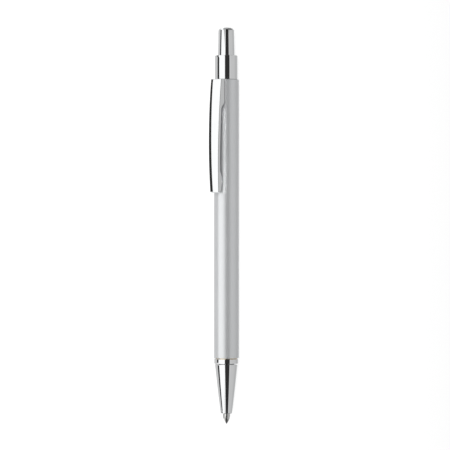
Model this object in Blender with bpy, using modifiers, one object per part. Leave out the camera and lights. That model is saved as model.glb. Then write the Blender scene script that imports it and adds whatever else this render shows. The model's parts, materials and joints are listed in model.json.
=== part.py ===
"""A slim click ballpoint pen, lying on its side with the writing point out.

Lengths are in metres. Each piece is modelled standing on the writing ball, about the pen's own axis: heights
run from the ball towards the button, and the clip lies towards +X. The whole pen is then laid down along X,
until the barrel and the lower edge of the clip rest on one plane.
"""

import math

import bmesh
import bpy
from mathutils import Matrix, Vector

# Lengths along the pen, from the ball to the button
POINT_REACH = 0.0035
NOSE_LENGTH = 0.01685
RING_LENGTH = 0.00185
BARREL_LENGTH = 0.09545
COLLAR_LENGTH = 0.00825
BUTTON_REACH = 0.00955

# Clearances
SEAT_GAP = 0.0003
SEAM_GAP = 0.0002
RUN_GAP = 0.00015
BALL_GAP = 0.00005
OVERRUN = 0.001
MERGE_DISTANCE = 0.00001

# Barrel
BARREL_RADIUS = 0.00425
BARREL_WALL = 0.0005
BARREL_EDGE = 0.00012

# Nose cone and the ring above it
NOSE_TIP_RADIUS = 0.00195
NOSE_TOP_RADIUS = 0.00394
NOSE_CROWN = 0.00007
NOSE_LIP_ROUND = 0.00025
NOSE_EDGE = 0.0001
NOSE_BORE_WALL = 0.0006
SPRING_SEAT_DEPTH = 0.006
SPIGOT_RADIUS = 0.0026
SPIGOT_ENGAGEMENT = 0.0068
SPIGOT_CHAMFER = 0.0003
RING_RADIUS = 0.0042
RING_EDGE = 0.00015
BUSH_LENGTH = 0.0085
BUSH_GROOVE_DEPTH = 0.00025
BUSH_GROOVE_WIDTH = 0.0015

# Top collar
COLLAR_RADIUS = 0.00395
COLLAR_WALL = 0.0004
COLLAR_RIM = 0.0006
COLLAR_EDGE = 0.00012

# Push button
BUTTON_TOP_RADIUS = 0.00275
BUTTON_BASE_RADIUS = 0.0029
BUTTON_WALL = 0.00045
BUTTON_SHOULDER_WIDTH = 0.00115
BUTTON_SHOULDER_HEIGHT = 0.0009
BUTTON_SHOULDER_SHARE = 0.4

# Click mechanism
RETRACT_TRAVEL = 0.005
OVERPRESS_TRAVEL = 0.0012
RETAINER_LENGTH = 0.0005
SLEEVE_SKIRT = 0.002
RIB_WIDTH = 0.0012
RIB_HEIGHT = 0.00055
PLUNGER_RIB_LENGTH = 0.0024
ROTOR_RIB_LENGTH = 0.0016
ROTOR_WEB = 0.00115
ROTOR_PIN_RADIUS = 0.0013
ROTOR_PIN_LENGTH = 0.0045
SOCKET_DEPTH = 0.0038
PIN_CHAMFER = 0.0003
TOOTH_DEPTH = 0.0007
TOOTH_COUNT = 8
RIB_COUNT = 4

# Refill
TUBE_RADIUS = 0.0015
TUBE_WALL = 0.0005
INK_SHARE = 0.82
HOLDER_RADIUS = 0.0012
FLANGE_RADIUS = 0.0018
FLANGE_HEIGHT = 0.0206
FLANGE_LENGTH = 0.0008
HOLDER_SPIGOT_LENGTH = 0.0035
INK_BORE = 0.00035
POINT_BODY_LENGTH = 0.0039
POINT_TAPER_HEIGHT = 0.0026
POINT_SHOULDER_ROUND = 0.0003
POINT_SPIGOT_RADIUS = 0.0007
POINT_SPIGOT_LENGTH = 0.004
POINT_LIP = 0.00005
BALL_RADIUS = 0.00035
BALL_HOLD_SHARE = 0.3

# Return spring
SPRING_WIRE_RADIUS = 0.0002
SPRING_TURNS = 7
SPRING_DEAD_TURNS = 1

# Clip, with its heights above the pen's axis counted from the barrel's surface
CLIP_LENGTH = 0.0385
CLIP_TOP_GAP = 0.0002
CLIP_ROOT_RISE = 0.00141
CLIP_CREST_RISE = 0.00282
CLIP_CREST_DISTANCE = 0.0245
CLIP_THICKNESS = 0.00105
CLIP_TOP_WIDTH = 0.0047
CLIP_END_WIDTH = 0.00384
CLIP_CROWN_RADIUS = 0.016
CLIP_FILLET = 0.00034
CLIP_CORNER_RADIUS = 0.001
CLIP_END_ROUND = 0.0003
ROOT_LENGTH = 0.0075
ROOT_RUNOUT = 0.0026
ROOT_DROP = 0.0005
NUB_DISTANCE = 0.0346
NUB_LENGTH = 0.0068
NUB_DROP = 0.0001
TANG_WIDTH = 0.0024
TANG_LENGTH = 0.005
TANG_START = 0.0003
TANG_REACH = 0.0001
POCKET_GAP = 0.00015

# Facets
ROUND_STEPS = 48
HIDDEN_STEPS = 32
FINE_STEPS = 24
CURVE_STEPS = 12
CORNER_STEPS = 4
COIL_STEPS = 12

# Places along the pen, worked out from the lengths
RING_BASE = POINT_REACH + NOSE_LENGTH
BARREL_BASE = RING_BASE + RING_LENGTH
COLLAR_BASE = BARREL_BASE + BARREL_LENGTH
COLLAR_TOP = COLLAR_BASE + COLLAR_LENGTH
PEN_LENGTH = COLLAR_TOP + BUTTON_REACH
BARREL_BORE = BARREL_RADIUS - BARREL_WALL

# Radii that fit into one another, from the button inwards
BUTTON_GUIDE = BUTTON_BASE_RADIUS + RUN_GAP
STEM_BORE = BUTTON_BASE_RADIUS - BUTTON_WALL
STEM_RADIUS = STEM_BORE - RUN_GAP
RIB_REACH = STEM_RADIUS + RIB_HEIGHT
GROOVE_REACH = RIB_REACH + RUN_GAP
GROOVE_SIDE = RIB_WIDTH / 2 + RUN_GAP
SKIRT_BORE = math.hypot(GROOVE_REACH, GROOVE_SIDE) + RUN_GAP
SLEEVE_RADIUS = BARREL_BORE - RUN_GAP
TUBE_BORE = TUBE_RADIUS - TUBE_WALL
HOLDER_SPIGOT_RADIUS = TUBE_BORE - RUN_GAP
SPRING_SEAT = POINT_REACH + SPRING_SEAT_DEPTH

# Heights in the click mechanism, from the barrel's upper end down
SLEEVE_SHOULDER = COLLAR_BASE - SEAM_GAP
GROOVE_TOP = SLEEVE_SHOULDER - RETAINER_LENGTH
PLUNGER_RIB_BASE = GROOVE_TOP - SEAT_GAP - RETRACT_TRAVEL - PLUNGER_RIB_LENGTH
ROTOR_CROWN_BASE = PLUNGER_RIB_BASE - SEAT_GAP - TOOTH_DEPTH
CAM_STOP = ROTOR_CROWN_BASE + SEAT_GAP
REFILL_TOP = ROTOR_CROWN_BASE - ROTOR_WEB - SEAT_GAP
ROTOR_BASE = REFILL_TOP - SOCKET_DEPTH
SLEEVE_BASE = ROTOR_BASE - SLEEVE_SKIRT
CAP_BASE = SLEEVE_SHOULDER + OVERPRESS_TRAVEL + SEAT_GAP
CLIP_TOP = COLLAR_BASE - CLIP_TOP_GAP


def clear_scene():
    """Removes what the scene already holds."""
    for item in list(bpy.data.objects):
        bpy.data.objects.remove(item, do_unlink=True)


def new_collection(name):
    collection = bpy.data.collections.new(name)
    bpy.context.scene.collection.children.link(collection)
    return collection


def finish(name, colour, roughness, metallic):
    """A Principled material of one colour."""
    material = bpy.data.materials.new(name)
    material.use_nodes = True
    shader = material.node_tree.nodes["Principled BSDF"]
    shader.inputs["Base Color"].default_value = (*colour, 1)
    shader.inputs["Roughness"].default_value = roughness
    shader.inputs["Metallic"].default_value = metallic
    return material


def add_object(name, shape, collection, material=None):
    """Turns a bmesh into a named object in a collection."""
    mesh = bpy.data.meshes.new(name)
    shape.to_mesh(mesh)
    shape.free()
    item = bpy.data.objects.new(name, mesh)
    collection.objects.link(item)
    if material:
        mesh.materials.append(material)
    return item


def shade_round(item):
    item.data.shade_smooth()
    item.data.set_sharp_from_angle(angle=math.radians(30))


def make_real(item):
    """Replaces an object's mesh by its evaluated one, and drops its modifiers."""
    bpy.context.view_layer.update()
    seen = item.evaluated_get(bpy.context.evaluated_depsgraph_get())
    mesh = bpy.data.meshes.new_from_object(seen)
    item.modifiers.clear()
    item.data = mesh
    mesh.name = item.name


def turned(name, outline, collection, material, steps=ROUND_STEPS, closed=True):
    """A piece turned about the axis, from (radius, height) points that run down its outer side."""
    shape = bmesh.new()
    points = [shape.verts.new((radius, 0, height)) for radius, height in outline]
    for first, second in zip(points, points[1:]):
        shape.edges.new((first, second))
    if closed:
        shape.edges.new((points[-1], points[0]))
    item = add_object(name, shape, collection, material)
    screw = item.modifiers.new("turning", "SCREW")
    screw.axis = "Z"
    screw.steps = steps
    screw.render_steps = steps
    screw.use_merge_vertices = True
    screw.merge_threshold = MERGE_DISTANCE
    make_real(item)
    shade_round(item)
    return item


def arc(centre, radius, start, end, steps):
    """Points of a circle in the turning plane, from one angle to another, in degrees."""
    angles = [math.radians(start + (end - start) * step / steps) for step in range(steps + 1)]
    return [(centre[0] + radius * math.cos(angle), centre[1] + radius * math.sin(angle)) for angle in angles]


def quarter_curve(start, corner, end, share, steps):
    """A bend from start to end that leans towards the corner by the share given."""
    middle = Vector(start).lerp(Vector(end), 0.5).lerp(Vector(corner), share)
    points = []
    for step in range(steps + 1):
        way = step / steps
        first = Vector(start).lerp(middle, way)
        points.append(tuple(first.lerp(middle.lerp(Vector(end), way), way)))
    return points


def box(name, low, high, collection):
    """A box between two corners."""
    shape = bmesh.new()
    bmesh.ops.create_cube(shape, size=1)
    size = Vector(high) - Vector(low)
    centre = (Vector(high) + Vector(low)) / 2
    bmesh.ops.transform(shape, matrix=Matrix.Translation(centre) @ Matrix.Diagonal((*size, 1)), verts=shape.verts)
    return add_object(name, shape, collection)


def move_origin(item, place):
    """Puts an object's origin at a place, without moving its shape."""
    item.data.transform(Matrix.Translation(-place))
    item.location = place


def combine(item, tool, operation):
    """Joins or cuts an object with a hidden tool."""
    tool.hide_render = True
    tool.display_type = "WIRE"
    boolean = item.modifiers.new(tool.name, "BOOLEAN")
    boolean.operation = operation
    boolean.solver = "EXACT"
    boolean.object = tool


def saw_share(angle):
    """Height of the saw teeth at an angle about the axis: a long ramp, then a drop within one facet."""
    facets = ROUND_STEPS // TOOTH_COUNT
    facet = round(angle / (2 * math.pi) * ROUND_STEPS) % facets
    return facet / (facets - 1)


def add_teeth(item, height):
    """Raises the ring of vertices at a height into saw teeth, and splits the faces that this twists."""
    shape = bmesh.new()
    shape.from_mesh(item.data)
    tolerance = TOOTH_DEPTH / ROUND_STEPS
    ring = [vertex for vertex in shape.verts if abs(vertex.co.z - height) < tolerance]
    raised = [vertex for vertex in ring if vertex.co.xy.length > tolerance]
    for vertex in raised:
        vertex.co.z += TOOTH_DEPTH * saw_share(math.atan2(vertex.co.y, vertex.co.x) % (2 * math.pi))
    twisted = {face for vertex in raised for face in vertex.link_faces}
    bmesh.ops.triangulate(shape, faces=list(twisted))
    shape.to_mesh(item.data)
    shape.free()


def ribs(name, base, length, slopes_up, collection):
    """Ribs round the stem, each with one end sloped: the upper end of the rotor's, the lower of the plunger's."""
    shape = bmesh.new()
    inner = STEM_RADIUS - RIB_HEIGHT
    slope = TOOTH_DEPTH / 2
    for index in range(RIB_COUNT):
        made = bmesh.ops.create_cube(shape, size=1)["verts"]
        for vertex in made:
            at_top = vertex.co.z > 0
            raised = slope if vertex.co.y > 0 and at_top == slopes_up else 0
            lowered = slope if at_top and slopes_up else 0
            radius = RIB_REACH if vertex.co.x > 0 else inner
            side = math.copysign(RIB_WIDTH / 2, vertex.co.y)
            height = base + (length if at_top else 0) + raised - lowered
            vertex.co = (radius, side, height)
        turn = Matrix.Rotation(2 * math.pi * (index + 0.5) / RIB_COUNT, 3, "Z")
        bmesh.ops.rotate(shape, cent=(0, 0, 0), matrix=turn, verts=made)
    return add_object(name, shape, collection)


def nose_outline_radius(share):
    """Outer radius of the nose between its tip and its shoulder: nearly straight, slightly crowned."""
    chord = NOSE_TIP_RADIUS + (NOSE_TOP_RADIUS - NOSE_TIP_RADIUS) * share
    return chord + 4 * NOSE_CROWN * share * (1 - share)


def make_barrel(parts, cutters, material):
    """The barrel tube, with the slot at its upper end that takes the clip's tang."""
    top = COLLAR_BASE
    outline = [
        (BARREL_BORE, top),
        (BARREL_RADIUS - BARREL_EDGE, top),
        (BARREL_RADIUS, top - BARREL_EDGE),
        (BARREL_RADIUS, BARREL_BASE + BARREL_EDGE),
        (BARREL_RADIUS - BARREL_EDGE, BARREL_BASE),
        (BARREL_BORE, BARREL_BASE),
    ]
    barrel = turned("barrel", outline, parts, material)
    half_width = TANG_WIDTH / 2 + RUN_GAP
    low = (BARREL_BORE - BARREL_WALL, -half_width, CLIP_TOP - TANG_START - TANG_LENGTH - RUN_GAP)
    high = (BARREL_RADIUS + OVERRUN, half_width, top + OVERRUN)
    combine(barrel, box("barrel_slot_cutter", low, high, cutters), "DIFFERENCE")
    return barrel


def make_nose(parts, material):
    """The chromed nose: a slightly crowned cone, bored for the refill and its spring, with a spigot behind."""
    shoulder = RING_BASE - SEAM_GAP
    bore = SPIGOT_RADIUS - NOSE_BORE_WALL
    orifice = HOLDER_RADIUS + RUN_GAP
    spigot_top = BARREL_BASE + SPIGOT_ENGAGEMENT
    low = POINT_REACH + NOSE_LIP_ROUND
    high = shoulder - NOSE_EDGE
    outline = [
        (bore, spigot_top),
        (SPIGOT_RADIUS - SPIGOT_CHAMFER, spigot_top),
        (SPIGOT_RADIUS, spigot_top - SPIGOT_CHAMFER),
        (SPIGOT_RADIUS, shoulder),
        (NOSE_TOP_RADIUS - NOSE_EDGE, shoulder),
    ]
    for step in range(CURVE_STEPS + 1):
        height = high + (low - high) * step / CURVE_STEPS
        outline.append((nose_outline_radius((height - POINT_REACH) / (high - POINT_REACH)), height))
    lip = nose_outline_radius(NOSE_LIP_ROUND / NOSE_LENGTH) - NOSE_LIP_ROUND
    outline += arc((lip, low), NOSE_LIP_ROUND, 0, -90, CORNER_STEPS)[1:]
    outline += [(orifice, POINT_REACH), (orifice, SPRING_SEAT), (bore, SPRING_SEAT)]
    return turned("nose_cone", outline, parts, material)


def make_ring(parts, material):
    """The trim ring trapped between the nose's shoulder and the barrel."""
    bore = SPIGOT_RADIUS + RUN_GAP
    top = BARREL_BASE - SEAM_GAP
    outline = [
        (bore, top),
        (RING_RADIUS - RING_EDGE, top),
        (RING_RADIUS, top - RING_EDGE),
        (RING_RADIUS, RING_BASE + RING_EDGE),
        (RING_RADIUS - RING_EDGE, RING_BASE),
        (bore, RING_BASE),
    ]
    return turned("nose_ring", outline, parts, material)


def make_bush(parts, material):
    """The brass insert in the barrel that the nose screws into, with a groove that holds its glue."""
    outer = BARREL_BORE - RUN_GAP
    bore = SPIGOT_RADIUS + RUN_GAP
    top = BARREL_BASE + BUSH_LENGTH
    middle = BARREL_BASE + BUSH_LENGTH / 2
    floor = outer - BUSH_GROOVE_DEPTH
    outline = [
        (bore, top),
        (outer, top),
        (outer, middle + BUSH_GROOVE_WIDTH / 2),
        (floor, middle + BUSH_GROOVE_WIDTH / 2),
        (floor, middle - BUSH_GROOVE_WIDTH / 2),
        (outer, middle - BUSH_GROOVE_WIDTH / 2),
        (outer, BARREL_BASE),
        (bore, BARREL_BASE),
    ]
    return turned("thread_bush", outline, parts, material, HIDDEN_STEPS)


def make_collar(parts, material):
    """The chromed cap over the guide sleeve's neck, whose rim the button slides through."""
    bore = COLLAR_RADIUS - COLLAR_WALL
    base = COLLAR_BASE + SEAM_GAP
    outline = [
        (BUTTON_GUIDE, COLLAR_TOP - COLLAR_EDGE),
        (BUTTON_GUIDE + COLLAR_EDGE, COLLAR_TOP),
        (COLLAR_RADIUS - COLLAR_EDGE, COLLAR_TOP),
        (COLLAR_RADIUS, COLLAR_TOP - COLLAR_EDGE),
        (COLLAR_RADIUS, base),
        (bore, base),
        (bore, COLLAR_TOP - COLLAR_RIM),
        (BUTTON_GUIDE, COLLAR_TOP - COLLAR_RIM),
    ]
    return turned("top_collar", outline, parts, material)


def make_button(parts, material):
    """The push button: a cup over the plunger's stem, slightly tapered, with a soft shoulder."""
    shoulder_start = (BUTTON_TOP_RADIUS - BUTTON_SHOULDER_WIDTH, PEN_LENGTH)
    shoulder_end = (BUTTON_TOP_RADIUS, PEN_LENGTH - BUTTON_SHOULDER_HEIGHT)
    corner = (BUTTON_TOP_RADIUS, PEN_LENGTH)
    ceiling = PEN_LENGTH - BUTTON_WALL
    outline = [(0, PEN_LENGTH)]
    outline += quarter_curve(shoulder_start, corner, shoulder_end, BUTTON_SHOULDER_SHARE, CORNER_STEPS)
    outline += [
        (BUTTON_BASE_RADIUS, COLLAR_TOP),
        (BUTTON_BASE_RADIUS, CAP_BASE),
        (STEM_BORE, CAP_BASE),
        (STEM_BORE, ceiling - BUTTON_SHOULDER_HEIGHT),
        (STEM_BORE - BUTTON_SHOULDER_WIDTH / 2, ceiling),
        (0, ceiling),
    ]
    return turned("button_cap", outline, parts, material, closed=False)


def make_sleeve(parts, cutters, material):
    """The cam housing: four lands that end in saw-tooth stops, and between them grooves for the ribs."""
    neck = COLLAR_RADIUS - COLLAR_WALL - RUN_GAP
    top = COLLAR_TOP - COLLAR_RIM - SEAT_GAP
    outline = [
        (BUTTON_GUIDE, top),
        (neck, top),
        (neck, SLEEVE_SHOULDER),
        (SLEEVE_RADIUS, SLEEVE_SHOULDER),
        (SLEEVE_RADIUS, SLEEVE_BASE),
        (SKIRT_BORE, SLEEVE_BASE),
        (SKIRT_BORE, CAM_STOP),
        (STEM_BORE, CAM_STOP),
        (STEM_BORE, SLEEVE_SHOULDER),
        (BUTTON_GUIDE, SLEEVE_SHOULDER),
    ]
    sleeve = turned("guide_sleeve", outline, parts, material)
    add_teeth(sleeve, CAM_STOP)
    for index in range(RIB_COUNT // 2):
        low = (-GROOVE_REACH, -GROOVE_SIDE, CAM_STOP - OVERRUN)
        high = (GROOVE_REACH, GROOVE_SIDE, GROOVE_TOP)
        cutter = box(f"sleeve_groove_cutter_{index}", low, high, cutters)
        cutter.rotation_euler.z = 2 * math.pi * (index + 0.5) / RIB_COUNT
        combine(sleeve, cutter, "DIFFERENCE")
    pocket = TANG_WIDTH / 2 + POCKET_GAP
    floor = SLEEVE_RADIUS - TANG_REACH - POCKET_GAP
    low = (floor, -pocket, CLIP_TOP - TANG_START - TANG_LENGTH - POCKET_GAP)
    high = (SLEEVE_RADIUS + OVERRUN, pocket, SLEEVE_SHOULDER + OVERRUN)
    combine(sleeve, box("sleeve_pocket_cutter", low, high, cutters), "DIFFERENCE")
    return sleeve


def make_plunger(parts, cutters, material):
    """The thruster under the button: a stem with crown teeth below and ribs that run in the grooves."""
    top = PEN_LENGTH - BUTTON_WALL - SEAT_GAP
    crown = PLUNGER_RIB_BASE
    bore = ROTOR_PIN_RADIUS + RUN_GAP
    bore_top = ROTOR_CROWN_BASE + ROTOR_PIN_LENGTH + SEAT_GAP
    outline = [
        (0, top),
        (STEM_RADIUS - BUTTON_SHOULDER_WIDTH / 2, top),
        (STEM_RADIUS, top - BUTTON_SHOULDER_HEIGHT),
        (STEM_RADIUS, crown),
        (bore, crown),
        (bore, bore_top),
        (0, bore_top),
    ]
    plunger = turned("plunger", outline, parts, material, closed=False)
    add_teeth(plunger, crown)
    tool = ribs("plunger_ribs", PLUNGER_RIB_BASE, PLUNGER_RIB_LENGTH, False, cutters)
    combine(plunger, tool, "UNION")
    return plunger


def make_rotor(parts, cutters, material):
    """The cam rotor: a socket for the refill's tail, sloped ribs, crown teeth and a pin in the plunger's bore."""
    pin_top = ROTOR_CROWN_BASE + ROTOR_PIN_LENGTH
    socket = TUBE_RADIUS + RUN_GAP
    socket_top = REFILL_TOP + SEAT_GAP
    outline = [
        (0, pin_top),
        (ROTOR_PIN_RADIUS - PIN_CHAMFER, pin_top),
        (ROTOR_PIN_RADIUS, pin_top - PIN_CHAMFER),
        (ROTOR_PIN_RADIUS, ROTOR_CROWN_BASE),
        (STEM_RADIUS, ROTOR_CROWN_BASE),
        (STEM_RADIUS, ROTOR_BASE),
        (socket, ROTOR_BASE),
        (socket, socket_top),
        (0, socket_top),
    ]
    rotor = turned("cam_rotor", outline, parts, material, closed=False)
    add_teeth(rotor, ROTOR_CROWN_BASE)
    base = ROTOR_CROWN_BASE - ROTOR_RIB_LENGTH
    tool = ribs("rotor_ribs", base, ROTOR_RIB_LENGTH, True, cutters)
    combine(rotor, tool, "UNION")
    return rotor


def make_tube(parts, material):
    """The refill's tube, open at the tail."""
    base = FLANGE_HEIGHT + FLANGE_LENGTH + RUN_GAP
    outline = [(TUBE_BORE, REFILL_TOP), (TUBE_RADIUS, REFILL_TOP), (TUBE_RADIUS, base), (TUBE_BORE, base)]
    return turned("refill_tube", outline, parts, material, FINE_STEPS)


def make_ink(parts, material):
    """The ink, which fills most of the tube above the point holder."""
    base = FLANGE_HEIGHT + FLANGE_LENGTH + HOLDER_SPIGOT_LENGTH + SEAT_GAP
    top = base + (REFILL_TOP - base) * INK_SHARE
    radius = TUBE_BORE - RUN_GAP
    outline = [(0, top), (radius, top), (radius, base), (0, base)]
    return turned("ink_column", outline, parts, material, FINE_STEPS, closed=False)


def make_holder(parts, material):
    """The metal front of the refill, with the flange that the spring pushes on."""
    base = POINT_BODY_LENGTH + RUN_GAP
    spigot_top = FLANGE_HEIGHT + FLANGE_LENGTH + HOLDER_SPIGOT_LENGTH
    socket = POINT_SPIGOT_RADIUS + RUN_GAP
    socket_top = POINT_BODY_LENGTH + POINT_SPIGOT_LENGTH + SEAT_GAP
    outline = [
        (INK_BORE, spigot_top),
        (HOLDER_SPIGOT_RADIUS, spigot_top),
        (HOLDER_SPIGOT_RADIUS, FLANGE_HEIGHT + FLANGE_LENGTH),
        (FLANGE_RADIUS, FLANGE_HEIGHT + FLANGE_LENGTH),
        (FLANGE_RADIUS, FLANGE_HEIGHT),
        (HOLDER_RADIUS, FLANGE_HEIGHT),
        (HOLDER_RADIUS, base),
        (socket, base),
        (socket, socket_top),
        (INK_BORE, socket_top),
    ]
    return turned("point_holder", outline, parts, material, FINE_STEPS)


def make_point(parts, material):
    """The writing point: a turned cone whose lip holds the ball, with a spigot in the holder."""
    cup = BALL_RADIUS + BALL_GAP
    hold = math.asin(BALL_HOLD_SHARE)
    lip_height = BALL_RADIUS + cup * math.sin(hold)
    lip = cup * math.cos(hold)
    top = POINT_BODY_LENGTH + POINT_SPIGOT_LENGTH
    outline = [
        (INK_BORE - RUN_GAP, top),
        (POINT_SPIGOT_RADIUS, top),
        (POINT_SPIGOT_RADIUS, POINT_BODY_LENGTH),
        (HOLDER_RADIUS, POINT_BODY_LENGTH),
    ]
    shoulder_start = (HOLDER_RADIUS, POINT_TAPER_HEIGHT + POINT_SHOULDER_ROUND)
    tip = (lip + POINT_LIP, lip_height)
    taper = (POINT_TAPER_HEIGHT - POINT_SHOULDER_ROUND - lip_height) / (POINT_TAPER_HEIGHT - lip_height)
    shoulder_end = tuple(Vector(tip).lerp(Vector((HOLDER_RADIUS, POINT_TAPER_HEIGHT)), taper))
    outline += quarter_curve(shoulder_start, (HOLDER_RADIUS, POINT_TAPER_HEIGHT), shoulder_end, 1, CORNER_STEPS)
    outline += [tip, (lip, lip_height)]
    throat = math.acos((INK_BORE - RUN_GAP) / cup)
    seat = arc((0, BALL_RADIUS), cup, math.degrees(hold), math.degrees(throat), CORNER_STEPS)
    outline += seat[1:]
    return turned("writing_point", outline, parts, material, FINE_STEPS)


def make_ball(parts, material):
    """The writing ball."""
    shape = bmesh.new()
    bmesh.ops.create_uvsphere(shape, u_segments=FINE_STEPS, v_segments=CURVE_STEPS, radius=BALL_RADIUS)
    bmesh.ops.translate(shape, vec=(0, 0, BALL_RADIUS), verts=shape.verts)
    ball = add_object("writing_ball", shape, parts, material)
    shade_round(ball)
    return ball


def make_spring(parts, material):
    """The return spring, wound between the nose's seat and the holder's flange."""
    low = SPRING_SEAT + RUN_GAP + SPRING_WIRE_RADIUS
    high = FLANGE_HEIGHT - RUN_GAP - SPRING_WIRE_RADIUS
    radius = SPIGOT_RADIUS - NOSE_BORE_WALL - RUN_GAP - SPRING_WIRE_RADIUS
    turns = SPRING_TURNS + 2 * SPRING_DEAD_TURNS
    dead_pitch = 2 * SPRING_WIRE_RADIUS + RUN_GAP
    pitch = (high - low - 2 * SPRING_DEAD_TURNS * dead_pitch) / SPRING_TURNS
    curve = bpy.data.curves.new("return_spring", "CURVE")
    curve.dimensions = "3D"
    curve.bevel_depth = SPRING_WIRE_RADIUS
    curve.bevel_resolution = 1
    curve.use_fill_caps = True
    wire = curve.splines.new("POLY")
    count = turns * COIL_STEPS
    wire.points.add(count)
    height = low
    for index, point in enumerate(wire.points):
        turn = index / COIL_STEPS
        angle = 2 * math.pi * turn
        point.co = (radius * math.cos(angle), radius * math.sin(angle), height, 1)
        dead = turn < SPRING_DEAD_TURNS or turn >= turns - SPRING_DEAD_TURNS
        height += (dead_pitch if dead else pitch) / COIL_STEPS
    coil = bpy.data.objects.new("return_spring", curve)
    parts.objects.link(coil)
    curve.materials.append(material)
    return coil


def smooth_step(share):
    """Eases from 0 to 1 with level ends."""
    share = min(max(share, 0), 1)
    return share * share * (3 - 2 * share)


def clip_edge_height(distance):
    """Height above the axis of the outer face's two edges, bowed along the clip."""
    crest = BARREL_RADIUS + CLIP_CREST_RISE
    rise = CLIP_CREST_RISE - CLIP_ROOT_RISE
    bowed = crest - rise * ((distance - CLIP_CREST_DISTANCE) / CLIP_CREST_DISTANCE) ** 2
    into_round = max(distance - (CLIP_LENGTH - CLIP_END_ROUND), 0)
    return bowed - (CLIP_END_ROUND - math.sqrt(max(CLIP_END_ROUND**2 - into_round**2, 0)))


def clip_under_height(distance):
    """Height of the underside: round the barrel at the root, free along the blade, down again at the nub."""
    free = clip_edge_height(distance) - CLIP_THICKNESS
    root = 1 - smooth_step((distance - ROOT_LENGTH) / ROOT_RUNOUT)
    from_nub = (distance - NUB_DISTANCE) / (NUB_LENGTH / 2)
    nub = max(1 - from_nub**2, 0)
    root_depth = free - BARREL_RADIUS + ROOT_DROP
    nub_depth = free - BARREL_RADIUS + NUB_DROP
    return free - root_depth * root - nub_depth * nub


def clip_half_width(distance):
    """Half the width, tapering towards the free end and rounded there in plan."""
    half = (CLIP_TOP_WIDTH + (CLIP_END_WIDTH - CLIP_TOP_WIDTH) * (distance / CLIP_LENGTH) ** 2) / 2
    into_corner = max(distance - (CLIP_LENGTH - CLIP_CORNER_RADIUS), 0)
    return half - (CLIP_CORNER_RADIUS - math.sqrt(max(CLIP_CORNER_RADIUS**2 - into_corner**2, 0)))


def clip_section(distance):
    """The clip's section at a distance from its top, as (height, side) points round it."""
    half = clip_half_width(distance)
    edge = clip_edge_height(distance)
    under = clip_under_height(distance)
    lean = math.asin(half / CLIP_CROWN_RADIUS)
    centre = edge - CLIP_CROWN_RADIUS * math.cos(lean)
    reach = half - CLIP_FILLET
    crown = math.asin(reach / CLIP_CROWN_RADIUS)
    points = [(under, -half + CLIP_FILLET), (under + CLIP_FILLET, -half), (edge - CLIP_FILLET, -half)]
    for step in range(-CORNER_STEPS, CORNER_STEPS + 1):
        angle = crown * step / CORNER_STEPS
        points.append((centre + CLIP_CROWN_RADIUS * math.cos(angle), CLIP_CROWN_RADIUS * math.sin(angle)))
    points += [(edge - CLIP_FILLET, half), (under + CLIP_FILLET, half), (under, half - CLIP_FILLET)]
    return points


def clip_stations():
    """Distances from the clip's top at which its section is taken, close together where it changes."""
    corner = CLIP_LENGTH - CLIP_CORNER_RADIUS
    marks = [0, ROOT_LENGTH, ROOT_LENGTH + ROOT_RUNOUT, NUB_DISTANCE - NUB_LENGTH / 2, corner]
    pieces = [CORNER_STEPS, CORNER_STEPS, 2 * CORNER_STEPS, 2 * CORNER_STEPS]
    stations = [0]
    for start, end, count in zip(marks, marks[1:], pieces):
        stations += [start + (end - start) * (index + 1) / count for index in range(count)]
    for index in range(1, CORNER_STEPS + 1):
        way = math.sin(math.pi / 2 * index / CORNER_STEPS)
        stations.append(corner + CLIP_CORNER_RADIUS * way)
    return stations


def make_clip(parts, cutters, material):
    """The sprung clip: a bowed, crowned blade on a root block that sits on the barrel, with a tang through it."""
    shape = bmesh.new()
    rings = []
    for distance in clip_stations():
        ring = [shape.verts.new((x, y, CLIP_TOP - distance)) for x, y in clip_section(distance)]
        rings.append(ring)
    count = len(rings[0])
    for upper, lower in zip(rings, rings[1:]):
        for index in range(count):
            after = (index + 1) % count
            shape.faces.new((upper[index], upper[after], lower[after], lower[index]))
    shape.faces.new(rings[0])
    shape.faces.new(reversed(rings[-1]))
    bmesh.ops.recalc_face_normals(shape, faces=shape.faces)
    clip = add_object("clip", shape, parts, material)
    shade_round(clip)
    seat_top = CLIP_TOP + OVERRUN
    seat_base = CLIP_TOP - CLIP_LENGTH - OVERRUN
    seat_radius = BARREL_RADIUS + SEAM_GAP
    outline = [(0, seat_top), (seat_radius, seat_top), (seat_radius, seat_base), (0, seat_base)]
    seat = turned("clip_seat_cutter", outline, cutters, None, closed=False)
    combine(clip, seat, "DIFFERENCE")
    tang_top = CLIP_TOP - TANG_START
    low = (SLEEVE_RADIUS - TANG_REACH, -TANG_WIDTH / 2, tang_top - TANG_LENGTH)
    high = (BARREL_RADIUS + CLIP_ROOT_RISE / 2, TANG_WIDTH / 2, tang_top)
    combine(clip, box("clip_tang", low, high, cutters), "UNION")
    move_origin(clip, Vector((BARREL_RADIUS - BARREL_WALL / 2, 0, tang_top)))
    return clip


def evaluated_points(item):
    """An object's evaluated vertices, in the pen's upright frame."""
    bpy.context.view_layer.update()
    seen = item.evaluated_get(bpy.context.evaluated_depsgraph_get())
    return [item.matrix_world @ vertex.co for vertex in seen.data.vertices]


def resting_lean(points):
    """How far below level the clip points when its lower edge and the barrel touch one plane."""
    low, high = 0.0, math.pi / 2
    while high - low > math.radians(0.001):
        lean = (low + high) / 2
        lowest = min(point.y * math.cos(lean) - point.x * math.sin(lean) for point in points)
        if lowest < -BARREL_RADIUS:
            high = lean
        else:
            low = lean
    return low


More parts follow.
